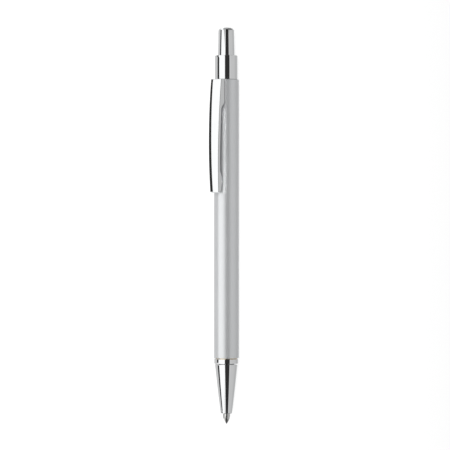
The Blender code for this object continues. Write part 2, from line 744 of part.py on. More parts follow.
def lay_down(axis, clip):
    """Lays the standing pen along X, tip towards +X and clip towards -Y, its box centred on the origin."""
    points = evaluated_points(clip)
    lean = resting_lean(points)
    near = min(-point.x * math.cos(lean) - point.y * math.sin(lean) for point in points)
    rows = (
        (0, 0, -1, PEN_LENGTH / 2),
        (-math.cos(lean), -math.sin(lean), 0, -(near + BARREL_RADIUS) / 2),
        (-math.sin(lean), math.cos(lean), 0, BARREL_RADIUS),
        (0, 0, 0, 1),
    )
    axis.matrix_world = Matrix(rows)


def make_pen():
    """Builds every piece upright, hangs it on the pen's axis, and lays the pen down."""
    parts = new_collection("ballpoint_pen")
    cutters = new_collection("cutters")
    satin = finish("satin_aluminium", (0.78, 0.79, 0.8), 0.35, 1)
    chrome = finish("chrome", (0.86, 0.87, 0.88), 0.06, 1)
    brass = finish("brass", (0.8, 0.62, 0.32), 0.3, 1)
    sleeve_plastic = finish("sleeve_plastic", (0.82, 0.82, 0.8), 0.5, 0)
    cam_plastic = finish("cam_plastic", (0.25, 0.27, 0.3), 0.45, 0)
    spring_steel = finish("spring_steel", (0.6, 0.6, 0.62), 0.25, 1)
    tube_plastic = finish("tube_plastic", (0.85, 0.87, 0.9), 0.3, 0)
    ink = finish("ink", (0.02, 0.03, 0.2), 0.2, 0)
    point_metal = finish("point_metal", (0.74, 0.72, 0.68), 0.2, 1)
    ball_metal = finish("ball_metal", (0.55, 0.55, 0.57), 0.1, 1)

    clip = make_clip(parts, cutters, chrome)
    pieces = [
        make_barrel(parts, cutters, satin),
        make_nose(parts, chrome),
        make_ring(parts, chrome),
        make_bush(parts, brass),
        make_collar(parts, chrome),
        make_button(parts, chrome),
        make_sleeve(parts, cutters, sleeve_plastic),
        make_plunger(parts, cutters, cam_plastic),
        make_rotor(parts, cutters, cam_plastic),
        make_tube(parts, tube_plastic),
        make_ink(parts, ink),
        make_holder(parts, point_metal),
        make_point(parts, point_metal),
        make_ball(parts, ball_metal),
        make_spring(parts, spring_steel),
        clip,
    ]
    axis = bpy.data.objects.new("pen_axis", None)
    parts.objects.link(axis)
    for item in pieces + list(cutters.objects):
        item.parent = axis
    lay_down(axis, clip)


clear_scene()
make_pen()
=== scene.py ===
"""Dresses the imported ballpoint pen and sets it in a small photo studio.

The pen lies on its side, its writing point towards +X and its clip towards -Y and a little down. Every new
piece is modelled standing on its writing ball, in millimetres: heights run from the ball towards the button,
and the clip lies towards +X. One placement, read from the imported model, then lays the piece down.
"""

import json
import logging
import math
from dataclasses import dataclass
from enum import Enum

import bmesh
import bpy
from mathutils import Matrix, Vector

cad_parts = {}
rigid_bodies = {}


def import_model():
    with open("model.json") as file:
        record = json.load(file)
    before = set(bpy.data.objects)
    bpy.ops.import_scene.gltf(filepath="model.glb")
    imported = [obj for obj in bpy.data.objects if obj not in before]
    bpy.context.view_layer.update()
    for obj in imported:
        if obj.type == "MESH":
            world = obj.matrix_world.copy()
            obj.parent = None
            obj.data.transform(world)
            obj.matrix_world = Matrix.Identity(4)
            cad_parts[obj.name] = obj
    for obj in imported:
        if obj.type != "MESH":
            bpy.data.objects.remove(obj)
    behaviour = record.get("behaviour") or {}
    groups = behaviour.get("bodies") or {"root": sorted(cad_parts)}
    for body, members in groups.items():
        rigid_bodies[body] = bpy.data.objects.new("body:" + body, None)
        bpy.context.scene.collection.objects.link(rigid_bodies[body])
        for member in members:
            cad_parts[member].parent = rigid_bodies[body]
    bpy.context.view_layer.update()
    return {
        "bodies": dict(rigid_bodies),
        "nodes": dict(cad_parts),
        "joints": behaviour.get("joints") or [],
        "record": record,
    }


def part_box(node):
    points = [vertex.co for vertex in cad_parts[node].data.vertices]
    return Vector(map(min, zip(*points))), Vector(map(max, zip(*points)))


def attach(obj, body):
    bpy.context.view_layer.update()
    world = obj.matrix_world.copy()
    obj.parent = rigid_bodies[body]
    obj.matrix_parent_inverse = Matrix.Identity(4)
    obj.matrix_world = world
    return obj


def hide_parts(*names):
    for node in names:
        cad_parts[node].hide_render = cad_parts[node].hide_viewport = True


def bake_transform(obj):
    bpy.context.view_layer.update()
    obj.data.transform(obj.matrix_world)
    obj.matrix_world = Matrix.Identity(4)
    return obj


LOG = logging.getLogger("pen")
METRES = 0.001
MERGE = 0.0005  # points closer than this are one, in millimetres
SHARP = math.radians(30)
PAST = 1.0  # how far a cutting shape reaches past what it cuts, in millimetres
STEP_GAP = 0.1  # height in which the silhouette steps from one piece to the next, in millimetres
BEYOND = 2.0  # how far the silhouette runs on past the button, in millimetres
OUTLINE_RISE = 1.5  # height between the silhouette's points on the nose, in millimetres
POINT_OUTLINE = ((0.0, 0.5), (2.6, 1.2), (3.4, 1.2))  # (height, radius) of the silhouette's first points

Point = tuple[float, float]
Colour = tuple[float, float, float]
Value = float | tuple[float, ...] | bpy.types.NodeSocket


# Shapes


def arc(centre: Point, radius: float, start: float, end: float, steps: int) -> list[Point]:
    """Points along part of a circle.

    Args:
        centre: the circle's middle.
        radius: its radius.
        start: the first point's angle, in degrees.
        end: the last point's angle, in degrees.
        steps: how many chords the arc has.

    Returns:
        The points, from start to end.
    """
    angles = [math.radians(start + (end - start) * step / steps) for step in range(steps + 1)]
    middle, level = centre
    return [(middle + radius * math.cos(angle), level + radius * math.sin(angle)) for angle in angles]


def bend(start: Point, corner: Point, end: Point, share: float, steps: int) -> list[Point]:
    """Points along a bend from start to end that leans towards a corner.

    Args:
        start: the first point.
        corner: the point that the bend leans towards.
        end: the last point.
        share: how far it leans, from 0 for a straight line to 1.
        steps: how many chords the bend has.

    Returns:
        The points, from start to end.
    """
    first, last = Vector(start), Vector(end)
    middle = first.lerp(last, 0.5).lerp(Vector(corner), share)
    ways = [step / steps for step in range(steps + 1)]
    return [tuple(first.lerp(middle, way).lerp(middle.lerp(last, way), way)) for way in ways]


def ease(share: float) -> float:
    """Eases from 0 to 1 with level ends."""
    share = min(max(share, 0.0), 1.0)
    return share * share * (3 - 2 * share)


def tube_outline(bore: float, radius: float, low: float, high: float) -> list[Point]:
    """The section of a plain tube, as (radius, height) points."""
    return [(bore, high), (radius, high), (radius, low), (bore, low)]


def revolve(outline: list[Point], steps: int = 128, closed: bool = True) -> bmesh.types.BMesh:
    """Spins an outline about the pen's axis.

    Args:
        outline: (radius, height) points round the section, or from pole to pole.
        steps: how many facets go round.
        closed: whether the last point joins the first.

    Returns:
        The closed solid.
    """
    shape = bmesh.new()
    points = [shape.verts.new((radius, 0.0, height)) for radius, height in outline]
    after = points[1:] + points[:1] if closed else points[1:]
    edges = [shape.edges.new(pair) for pair in zip(points, after)]
    bmesh.ops.spin(
        shape, geom=points + edges, cent=(0, 0, 0), axis=(0, 0, 1), dvec=(0, 0, 0),
        angle=2 * math.pi, steps=steps, use_merge=True, use_duplicate=False,
    )
    bmesh.ops.remove_doubles(shape, verts=shape.verts, dist=MERGE)
    bmesh.ops.recalc_face_normals(shape, faces=shape.faces)
    return shape


def soften(shape: bmesh.types.BMesh, radius: float, segments: int = 3) -> None:
    """Rounds every sharp edge of a solid.

    Args:
        shape: the solid.
        radius: how wide the rounding is.
        segments: how many facets it has.
    """
    sharp = [edge for edge in shape.edges if edge.is_manifold and edge.calc_face_angle(0.0) > SHARP]
    bmesh.ops.bevel(
        shape, geom=sharp, offset=radius, offset_type="OFFSET", affect="EDGES", segments=segments,
        profile=0.5, material=-1, clamp_overlap=True,
    )


def close_ends(shape: bmesh.types.BMesh) -> None:
    """Closes a skin's two open ends, and turns its faces outwards."""
    bmesh.ops.holes_fill(shape, edges=[edge for edge in shape.edges if edge.is_boundary], sides=0)
    bmesh.ops.recalc_face_normals(shape, faces=shape.faces)


def coil(section: list[Point], runs: list[Point], steps: int) -> bmesh.types.BMesh:
    """Winds a closed section about the pen's axis, rising as it goes.

    Args:
        section: (radius, height) points round the section.
        runs: (turns, rise a turn) of each stretch, from the bottom up.
        steps: how many facets a turn has.

    Returns:
        The closed coil.
    """
    shape = bmesh.new()
    points = [shape.verts.new((radius, 0.0, height)) for radius, height in section]
    geometry = points + [shape.edges.new(pair) for pair in zip(points, points[1:] + points[:1])]
    for turns, rise in runs:
        count = round(turns * steps)
        made = bmesh.ops.spin(
            shape, geom=geometry, cent=(0, 0, 0), axis=(0, 0, 1), dvec=(0, 0, rise / steps),
            angle=2 * math.pi * turns, steps=count, use_merge=False, use_duplicate=False,
        )
        geometry = [item for item in made["geom_last"] if not isinstance(item, bmesh.types.BMFace)]
    close_ends(shape)
    return shape


def loft(sections: list[list[Vector]]) -> bmesh.types.BMesh:
    """Skins a row of closed sections that all have the same number of points.

    Args:
        sections: the points round each section, in the same turning sense.

    Returns:
        The closed solid.
    """
    shape = bmesh.new()
    loops = []
    for section in sections:
        made = bmesh.ops.create_circle(shape, cap_ends=False, radius=1.0, segments=len(section))["verts"]
        for vertex, place in zip(made, section):
            vertex.co = place
        loops.append(list({edge for vertex in made for edge in vertex.link_edges}))
    for upper, lower in zip(loops, loops[1:]):
        bmesh.ops.bridge_loops(shape, edges=upper + lower)
    close_ends(shape)
    return shape


def block(low: tuple[float, ...], high: tuple[float, ...]) -> bmesh.types.BMesh:
    """A box between two corners.

    Args:
        low: its lowest corner.
        high: its highest corner.

    Returns:
        The box.
    """
    shape = bmesh.new()
    size, middle = Vector(high) - Vector(low), (Vector(high) + Vector(low)) / 2
    place = Matrix.Translation(middle) @ Matrix.Diagonal((*size, 1.0))
    bmesh.ops.create_cube(shape, size=1.0, matrix=place)
    return shape


def new_object(name: str, shape: bmesh.types.BMesh) -> bpy.types.Object:
    """Turns a shape into an object in the scene.

    Args:
        name: the object's name.
        shape: what it is made of, which is used up.

    Returns:
        The object.
    """
    mesh = bpy.data.meshes.new(name)
    shape.to_mesh(mesh)
    shape.free()
    item = bpy.data.objects.new(name, mesh)
    bpy.context.scene.collection.objects.link(item)
    return item


def combine(item: bpy.types.Object, tool: bmesh.types.BMesh, operation: str) -> None:
    """Cuts a shape out of an object, or joins it on.

    Args:
        item: the object.
        tool: the other shape, which is used up.
        operation: the Boolean's operation.
    """
    other = new_object(item.name + "_tool", tool)
    boolean = item.modifiers.new("tool", "BOOLEAN")
    boolean.operation, boolean.solver, boolean.object = operation, "EXACT", other
    bpy.context.view_layer.update()
    seen = item.evaluated_get(bpy.context.evaluated_depsgraph_get())
    mesh = bpy.data.meshes.new_from_object(seen)
    item.modifiers.clear()
    item.data = mesh
    mesh.name = item.name
    bpy.data.objects.remove(other, do_unlink=True)


@dataclass(frozen=True)
class Placement:
    """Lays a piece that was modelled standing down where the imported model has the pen."""

    length: float
    side: float
    height: float
    lean: Vector

    @classmethod
    def from_frame(cls, frame: dict) -> "Placement":
        """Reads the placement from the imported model.


        Returns:
            The placement, in metres.
        """
        joints = {joint["name"]: joint for joint in frame["joints"]}
        _, side, height = joints["nose_turn"]["pos_m"]
        away = -Vector(joints["clip_flex"]["axis"]).normalized()
        return cls(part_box("writing_ball")[1].x, side, height, away)

    def matrix(self) -> Matrix:
        """Gives the matrix that lays the pen down.

        Returns:
            The matrix from the standing pen, in millimetres, to the lying one, in metres.
        """
        clip = Vector((0, -self.lean.z, self.lean.y))
        rows = (
            (0, 0, -METRES, self.length),
            (clip.y * METRES, self.lean.y * METRES, 0, self.side),
            (clip.z * METRES, self.lean.z * METRES, 0, self.height),
            (0, 0, 0, 1),
        )
        return Matrix(rows)

    def at(self, height: float) -> Vector:
        """The point on the pen's axis at a height above the ball, in metres."""
        return self.matrix() @ Vector((0, 0, height))


# Finishes


def grey(level: float) -> tuple[float, ...]:
    """A grey of one level, for a colour socket."""
    return (level, level, level, 1.0)


class Bench:
    """Adds nodes to a node tree and wires them."""

    def __init__(self, tree: bpy.types.NodeTree) -> None:
        """Starts on a tree.

        Args:
            tree: the node tree.
        """
        self.tree = tree

    def node(self, kind: str, inputs: dict | None = None, **settings: object) -> bpy.types.Node:
        """Adds a node.

        Args:
            kind: the node's type.
            inputs: values or sockets for its inputs, by name or number.
            **settings: its own settings.

        Returns:
            The node.
        """
        made = self.tree.nodes.new(kind)
        for name, value in settings.items():
            setattr(made, name, value)
        for name, value in (inputs or {}).items():
            self.feed(made.inputs[name], value)
        return made

    def feed(self, socket: bpy.types.NodeSocket, value: Value) -> None:
        """Gives an input a value, or a wire from another socket.

        Args:
            socket: the input.
            value: the value or the other socket.
        """
        if isinstance(value, bpy.types.NodeSocket):
            self.tree.links.new(value, socket)
        else:
            socket.default_value = value

    def math(self, operation: str, *values: Value) -> bpy.types.NodeSocket:
        """Adds a Math node and gives its result."""
        return self.node("ShaderNodeMath", dict(enumerate(values)), operation=operation).outputs[0]

    def spread(self, value: Value, low: Value, high: Value) -> bpy.types.NodeSocket:
        """Maps a 0 to 1 value to the range from low to high, with eased ends."""
        inputs = {"Value": value, "To Min": low, "To Max": high}
        return self.node("ShaderNodeMapRange", inputs, interpolation_type="SMOOTHSTEP").outputs["Result"]

    def mix(self, share: Value, first: Value, second: Value) -> bpy.types.NodeSocket:
        """Mixes two colours, where a share of 0 gives the first. The Mix node numbers its colour sockets."""
        return self.node("ShaderNodeMix", {0: share, 6: first, 7: second}, data_type="RGBA").outputs[2]

    def effect(self, group: bpy.types.NodeTree, place: Value, size: float) -> bpy.types.NodeSocket:
        """Places a shared effect at a size and gives what it puts out."""
        return self.node("ShaderNodeGroup", {"Vector": place, "Size": size}, node_tree=group).outputs[0]

    def mix_shaders(self, share: Value, first: Value, second: Value) -> bpy.types.NodeSocket:
        """Mixes two shaders, where a share of 0 gives the first."""
        return self.node("ShaderNodeMixShader", {0: share, 1: first, 2: second}).outputs[0]

    def emission(self, level: Value) -> bpy.types.NodeSocket:
        """Gives off white light of a level."""
        return self.node("ShaderNodeEmission", {"Color": grey(1.0), "Strength": level}).outputs[0]


def new_group(
    name: str, size: float, result: str,
) -> tuple[Bench, bpy.types.NodeOutputs, bpy.types.NodeSocket]:
    """Starts a shader node group that reads a place and a size.

    Args:
        name: the group's name.
        size: the size that it has by default, in metres.
        result: the name of the value that it gives.

    Returns:
        A bench on the group, the sockets that bring in its place and size, and the one that takes its result.
    """
    tree = bpy.data.node_groups.new(name, "ShaderNodeTree")
    tree.interface.new_socket(name="Vector", in_out="INPUT", socket_type="NodeSocketVector")
    tree.interface.new_socket(name="Size", in_out="INPUT", socket_type="NodeSocketFloat").default_value = size
    tree.interface.new_socket(name=result, in_out="OUTPUT", socket_type="NodeSocketFloat")
    bench = Bench(tree)
    given, out = bench.node("NodeGroupInput").outputs, bench.node("NodeGroupOutput").inputs[result]
    return bench, given, out


class Effects:
    """The surface effects that several finishes share, each a node group that is built once.

    Patches are as handling and plating leave them, the speckle as blasting or a spark-worn mould leaves it,
    the turning marks as a lathe's tool leaves them, and the hairlines are sparse scratches along the pen.
    """

    def __init__(self) -> None:
        """Builds every group."""
        self.patches = self._noise("soft_patches", 0.01, "Mask", detail=4.0, span=(0.3, 0.7))
        self.speckle = self._noise("fine_grain", 0.0001, "Height", detail=2.0)
        self.turning = self._turning()
        self.hairlines = self._noise(
            "hairlines", 0.0002, "Mask", detail=3.0, span=(0.62, 0.72), stretch=(0.03, 1.0, 1.0),
        )

    def _noise(
        self, name: str, size: float, result: str, detail: float,
        span: Point | None = None, stretch: Colour | None = None,
    ) -> bpy.types.NodeTree:
        """Builds a group that gives noise.

        Args:
            name: the group's name.
            size: how large the noise is by default, in metres.
            result: the name of the value that it gives.
            detail: how much finer noise is in it.
            span: the values that become 0 and 1, if it is a mask.
            stretch: what the place is multiplied by, if it is drawn out.

        Returns:
            The group.
        """
        bench, given, out = new_group(name, size, result)
        place = given["Vector"]
        if stretch:
            inputs = {0: place, 1: stretch}
            place = bench.node("ShaderNodeVectorMath", inputs, operation="MULTIPLY").outputs[0]
        inputs = {"Vector": place, "Scale": bench.math("DIVIDE", 1.0, given["Size"]), "Detail": detail}
        value = bench.node("ShaderNodeTexNoise", inputs).outputs[0]
        if span:
            inputs = {"Value": value, "From Min": span[0], "From Max": span[1]}
            value = bench.node("ShaderNodeMapRange", inputs).outputs["Result"]
        bench.feed(out, value)
        return bench.tree

    def _turning(self) -> bpy.types.NodeTree:
        """Builds the group for uneven rings round the pen's axis.

        Returns:
            The group.
        """
        bench, given, out = new_group("turning_marks", 0.0001, "Height")
        along = bench.node("ShaderNodeSeparateXYZ", {"Vector": given["Vector"]}).outputs["X"]
        inputs = {"W": bench.math("DIVIDE", along, given["Size"]), "Scale": 1.0, "Detail": 2.0}
        bench.feed(out, bench.node("ShaderNodeTexNoise", inputs, noise_dimensions="1D").outputs[0])
        return bench.tree


class Grain(Enum):
    """How a surface was worked, which gives its fine relief."""

    PLATED = "plated"
    BLASTED = "blasted"
    TURNED = "turned"
    DRAWN = "drawn"
    MOULDED = "moulded"


@dataclass(frozen=True)
class Finish:
    """One finish: two tones that it wanders between, its gloss, and its fine relief. Sizes are in metres.

    Plating also has scratches, whose size and depth are shares of its grain's.
    """

    name: str
    slot: str
    colour: Colour
    second: Colour
    metallic: float
    gloss: Point
    grain: Grain
    grain_size: float
    relief: float
    patch_size: float
    scratch_size: float = 0.25
    scratch_depth: float = 0.15

    def material(self, effects: Effects) -> bpy.types.Material:
        """Builds the procedural material.

        Args:
            effects: the shared surface effects.

        Returns:
            The material.
        """
        made = bpy.data.materials.new(self.name)
        made.use_nodes = True
        bench = Bench(made.node_tree)
        shader = made.node_tree.nodes["Principled BSDF"]
        place = bench.node("ShaderNodeTexCoord").outputs["Object"]
        patches = bench.effect(effects.patches, place, self.patch_size)
        worked = {Grain.TURNED: effects.turning, Grain.DRAWN: effects.hairlines}
        height = bench.effect(worked.get(self.grain, effects.speckle), place, self.grain_size)
        if self.grain is Grain.PLATED:
            lines = bench.effect(effects.hairlines, place, self.grain_size * self.scratch_size)
            height = bench.math("SUBTRACT", height, bench.math("MULTIPLY", lines, self.scratch_depth))
        relief = {"Height": height, "Strength": 1.0, "Distance": self.relief}
        bench.feed(shader.inputs["Base Color"], bench.mix(patches, (*self.colour, 1.0), (*self.second, 1.0)))
        bench.feed(shader.inputs["Roughness"], bench.spread(patches, *self.gloss))
        bench.feed(shader.inputs["Metallic"], self.metallic)
        bench.feed(shader.inputs["Normal"], bench.node("ShaderNodeBump", relief).outputs["Normal"])
        return made


CHROME = Finish(
    "polished_chrome", "chrome", (0.926, 0.936, 0.94), (0.896, 0.906, 0.914), 1.0, (0.025, 0.05),
    Grain.PLATED, 0.0012, 0.0000004, 0.005,
)
# Partly real and partly painted shade: rougher, as unpolished chrome is, and about half as bright in colour
# to stand in for the shade under the clip.
UNDERSIDE_DULL_AND_SHADED = Finish(
    "unpolished_chrome_painted_shade", "chrome", (0.46, 0.465, 0.475), (0.38, 0.385, 0.395), 1.0, (0.35, 0.5),
    Grain.BLASTED, 0.00012, 0.000003, 0.004,
)
# Painted shade: a near-black colour on the clip root's seat, standing in for the shade in the gap between the
# root and the barrel.
SEAT_PAINTED_SHADE = Finish(
    "painted_shade_seat", "chrome", (0.1, 0.1, 0.105), (0.07, 0.07, 0.075), 0.0, (0.6, 0.75),
    Grain.BLASTED, 0.00012, 0.000003, 0.004,
)
SATIN = Finish(
    "satin_anodised_aluminium", "satin_aluminium", (0.838, 0.852, 0.864), (0.858, 0.872, 0.884), 0.69,
    (0.42, 0.45), Grain.BLASTED, 0.00011, 0.000002, 0.008,
)
BRASS = Finish(
    "turned_brass", "brass", (0.8, 0.6, 0.28), (0.72, 0.52, 0.22), 1.0, (0.22, 0.34),
    Grain.TURNED, 0.00012, 0.000004, 0.003,
)
SLEEVE = Finish(
    "moulded_white_plastic", "sleeve_plastic", (0.8, 0.8, 0.78), (0.76, 0.76, 0.73), 0.0, (0.42, 0.52),
    Grain.MOULDED, 0.00015, 0.000006, 0.004,
)
CAM = Finish(
    "moulded_grey_plastic", "cam_plastic", (0.2, 0.22, 0.25), (0.17, 0.19, 0.22), 0.0, (0.35, 0.45),
    Grain.MOULDED, 0.00015, 0.000006, 0.004,
)
WIRE = Finish(
    "drawn_spring_wire", "spring_steel", (0.58, 0.58, 0.6), (0.5, 0.5, 0.52), 1.0, (0.2, 0.3),
    Grain.DRAWN, 0.00008, 0.000002, 0.002,
)
TUBE = Finish(
    "milky_tube_plastic", "tube_plastic", (0.82, 0.84, 0.86), (0.78, 0.81, 0.84), 0.0, (0.22, 0.3),
    Grain.MOULDED, 0.0008, 0.000004, 0.006,
)
INK = Finish(
    "blue_ink", "ink", (0.01, 0.02, 0.16), (0.006, 0.012, 0.11), 0.0, (0.1, 0.18),
    Grain.MOULDED, 0.0006, 0.000003, 0.003,
)
POINT = Finish(
    "turned_nickel_silver", "point_metal", (0.72, 0.72, 0.71), (0.66, 0.66, 0.65), 1.0, (0.1, 0.16),
    Grain.TURNED, 0.00006, 0.0000015, 0.002,
)
BALL = Finish(
    "ground_carbide", "ball_metal", (0.45, 0.45, 0.47), (0.4, 0.4, 0.42), 1.0, (0.12, 0.2),
    Grain.BLASTED, 0.00003, 0.0000005, 0.0003,
)


@dataclass
class Workshop:
    """Lays new pieces down and dresses them, and dresses the CAD nodes that stay."""

    placement: Placement
    effects: Effects
    nodes: dict[str, bpy.types.Object]
    made: dict[str, bpy.types.Material]

    def material(self, finish: Finish) -> bpy.types.Material:
        """Gives a finish's material, which is built the first time.

        Args:
            finish: the finish.

        Returns:
            Its material.
        """
        if finish.name not in self.made:
            self.made[finish.name] = finish.material(self.effects)
        return self.made[finish.name]

    def lay(self, item: bpy.types.Object, finish: Finish, node: str) -> bpy.types.Object:
        """Lays a piece down, dresses it and hides the CAD node that it replaces.

        Args:
            item: the piece, standing, in millimetres.
            finish: its finish.
            node: the CAD node that it replaces.

        Returns:
            The piece.
        """
        mesh = item.data
        mesh.transform(self.placement.matrix())
        mesh.materials.clear()
        mesh.materials.append(self.material(finish))
        mesh.shade_smooth()
        mesh.set_sharp_from_angle(angle=SHARP)
        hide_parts(node)
        LOG.info("%s: %d faces", item.name, len(mesh.polygons))
        return item

    def dress(self, finishes: dict[str, Finish]) -> None:
        """Gives CAD nodes that stay their finishes.

        Args:
            finishes: each node's finish, by the node's name.
        """
        for name, finish in finishes.items():
            for slot in self.nodes[name].material_slots:
                slot.material = self.material(finish)
            LOG.info("%s: %s", name, finish.name)


# The pen


@dataclass(frozen=True)
class Stations:
    """Heights above the writing ball, in millimetres, that several pieces share."""

    tip: float = 3.5
    ring: float = 20.55
    barrel: float = 22.4
    collar: float = 117.65
    collar_top: float = 125.9
    top: float = 135.45
    seam: float = 0.2


@dataclass
class Part:
    """A part of the pen, with the stations that it keeps to and the workshop that finishes it."""

    at: Stations
    shop: Workshop


@dataclass
class Barrel(Part):
    """The satin tube, with the slot at its upper end that the clip's tang goes through."""

    radius: float = 4.25
    wall: float = 0.5
    edge: float = 0.12
    slot_width: float = 2.7
    slot_base: float = 112.0

    def build(self) -> None:
        """Turns the tube and cuts its slot."""
        bore = self.radius - self.wall
        shape = revolve(tube_outline(bore, self.radius, self.at.barrel, self.at.collar), steps=192)
        soften(shape, self.edge)
        item = new_object("barrel_tube", shape)
        half = self.slot_width / 2
        low, high = (bore - PAST, -half, self.slot_base), (self.radius + PAST, half, self.at.collar + PAST)
        combine(item, block(low, high), "DIFFERENCE")
        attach(self.shop.lay(item, SATIN, "barrel"), "barrel")


@dataclass
class Nose(Part):
    """The chromed nose cone with its threaded spigot, and the trim ring above it."""

    tip_radius: float = 1.95
    top_radius: float = 3.94
    fullness: float = 0.07
    lip: float = 0.25
    edge: float = 0.1
    orifice: float = 1.35
    seat_depth: float = 6.0
    bore: float = 2.0
    spigot_radius: float = 2.6
    core_radius: float = 2.32
    spigot_top: float = 29.0
    neck_rise: float = 0.3
    neck_run: float = 0.3
    cone_steps: int = 40
    pitch: float = 0.75
    thread_start: float = 0.9
    thread_end: float = 0.45
    thread_sink: float = 0.06
    thread_foot: float = 0.42
    thread_crest: float = 0.07
    ring_radius: float = 4.2
    ring_bore: float = 2.75
    ring_edge: float = 0.15

    def cone_radius(self, height: float) -> float:
        """The cone's outer radius at a height above the ball."""
        share = min((height - self.at.tip) / (self.at.ring - self.at.seam - self.edge - self.at.tip), 1.0)
        straight = self.tip_radius + (self.top_radius - self.tip_radius) * share
        return straight + 4 * self.fullness * share * (1 - share)

    def outline(self) -> list[Point]:
        """Draws the nose's section.

        Returns:
            (radius, height) points, from its spigot round to its bore.
        """
        shoulder, low = self.at.ring - self.at.seam, self.at.tip + self.lip
        neck = self.at.barrel + self.neck_rise
        points = [
            (self.bore, self.spigot_top), (self.core_radius, self.spigot_top),
            (self.core_radius, neck + self.neck_run), (self.spigot_radius, neck),
            (self.spigot_radius, shoulder),
        ]
        shares = [step / self.cone_steps for step in range(self.cone_steps + 1)]
        heights = [shoulder + (low - shoulder) * share for share in shares]
        points += [(self.cone_radius(height), height) for height in heights]
        points += arc((self.cone_radius(low) - self.lip, low), self.lip, 0, -90, 8)[1:]
        seat = self.at.tip + self.seat_depth
        return points + [(self.orifice, self.at.tip), (self.orifice, seat), (self.bore, seat)]

    def thread(self) -> bmesh.types.BMesh:
        """Winds the thread up the spigot.

        Returns:
            The thread, its foot sunk in the spigot's core.
        """
        start, root = self.at.barrel + self.thread_start, self.core_radius - self.thread_sink
        foot, crest = self.pitch * self.thread_foot, self.pitch * self.thread_crest
        section = [
            (root, start - foot), (self.spigot_radius, start - crest),
            (self.spigot_radius, start + crest), (root, start + foot),
        ]
        turns = (self.spigot_top - self.thread_end - start) / self.pitch
        return coil(section, [(turns, self.pitch)], steps=72)

    def build(self) -> None:
        """Turns the nose and the ring, and cuts the thread."""
        shape = revolve(self.outline())
        soften(shape, self.edge)
        nose = new_object("nose_shell", shape)
        combine(nose, self.thread(), "UNION")
        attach(self.shop.lay(nose, CHROME, "nose_cone"), "nose")
        end = self.at.barrel - self.at.seam
        ring = revolve(tube_outline(self.ring_bore, self.ring_radius, self.at.ring, end))
        soften(ring, self.ring_edge, segments=4)
        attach(self.shop.lay(new_object("trim_ring", ring), CHROME, "nose_ring"), "nose_ring")


@dataclass
class Top(Part):
    """The chromed collar and the push button that slides through it."""

    collar_radius: float = 3.95
    collar_wall: float = 0.4
    collar_rim: float = 0.6
    collar_edge: float = 0.12
    collar_seam: float = 0.05
    guide: float = 3.05
    button_top: float = 2.75
    button_base: float = 2.9
    button_wall: float = 0.45
    button_foot: float = 118.95
    shoulder_width: float = 1.15
    shoulder_height: float = 0.9
    shoulder_share: float = 0.4
    button_edge: float = 0.08

    def collar(self) -> None:
        """Turns the collar."""
        bore, top = self.collar_radius - self.collar_wall, self.at.collar_top
        low = self.at.collar + self.collar_seam
        outline = [
            (self.guide, top), (self.collar_radius, top), (self.collar_radius, low),
            (bore, low), (bore, top - self.collar_rim), (self.guide, top - self.collar_rim),
        ]
        shape = revolve(outline)
        soften(shape, self.collar_edge)
        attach(self.shop.lay(new_object("collar_cap", shape), CHROME, "top_collar"), "barrel")

    def button(self) -> None:
        """Turns the button, a cup with a soft shoulder."""
        top, bore = self.at.top, self.button_base - self.button_wall
        start = (self.button_top - self.shoulder_width, top)
        end = (self.button_top, top - self.shoulder_height)
        ceiling = top - self.button_wall
        outline = [(0.0, top), *bend(start, (self.button_top, top), end, self.shoulder_share, steps=16)]
        outline += [
            (self.button_base, self.at.collar_top), (self.button_base, self.button_foot),
            (bore, self.button_foot), (bore, ceiling - self.shoulder_height),
            (bore - self.shoulder_width / 2, ceiling), (0.0, ceiling),
        ]
        shape = revolve(outline, closed=False)
        soften(shape, self.button_edge, segments=2)
        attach(self.shop.lay(new_object("push_button", shape), CHROME, "button_cap"), "button")

    def build(self) -> None:
        """Makes both pieces."""
        self.collar()
        self.button()


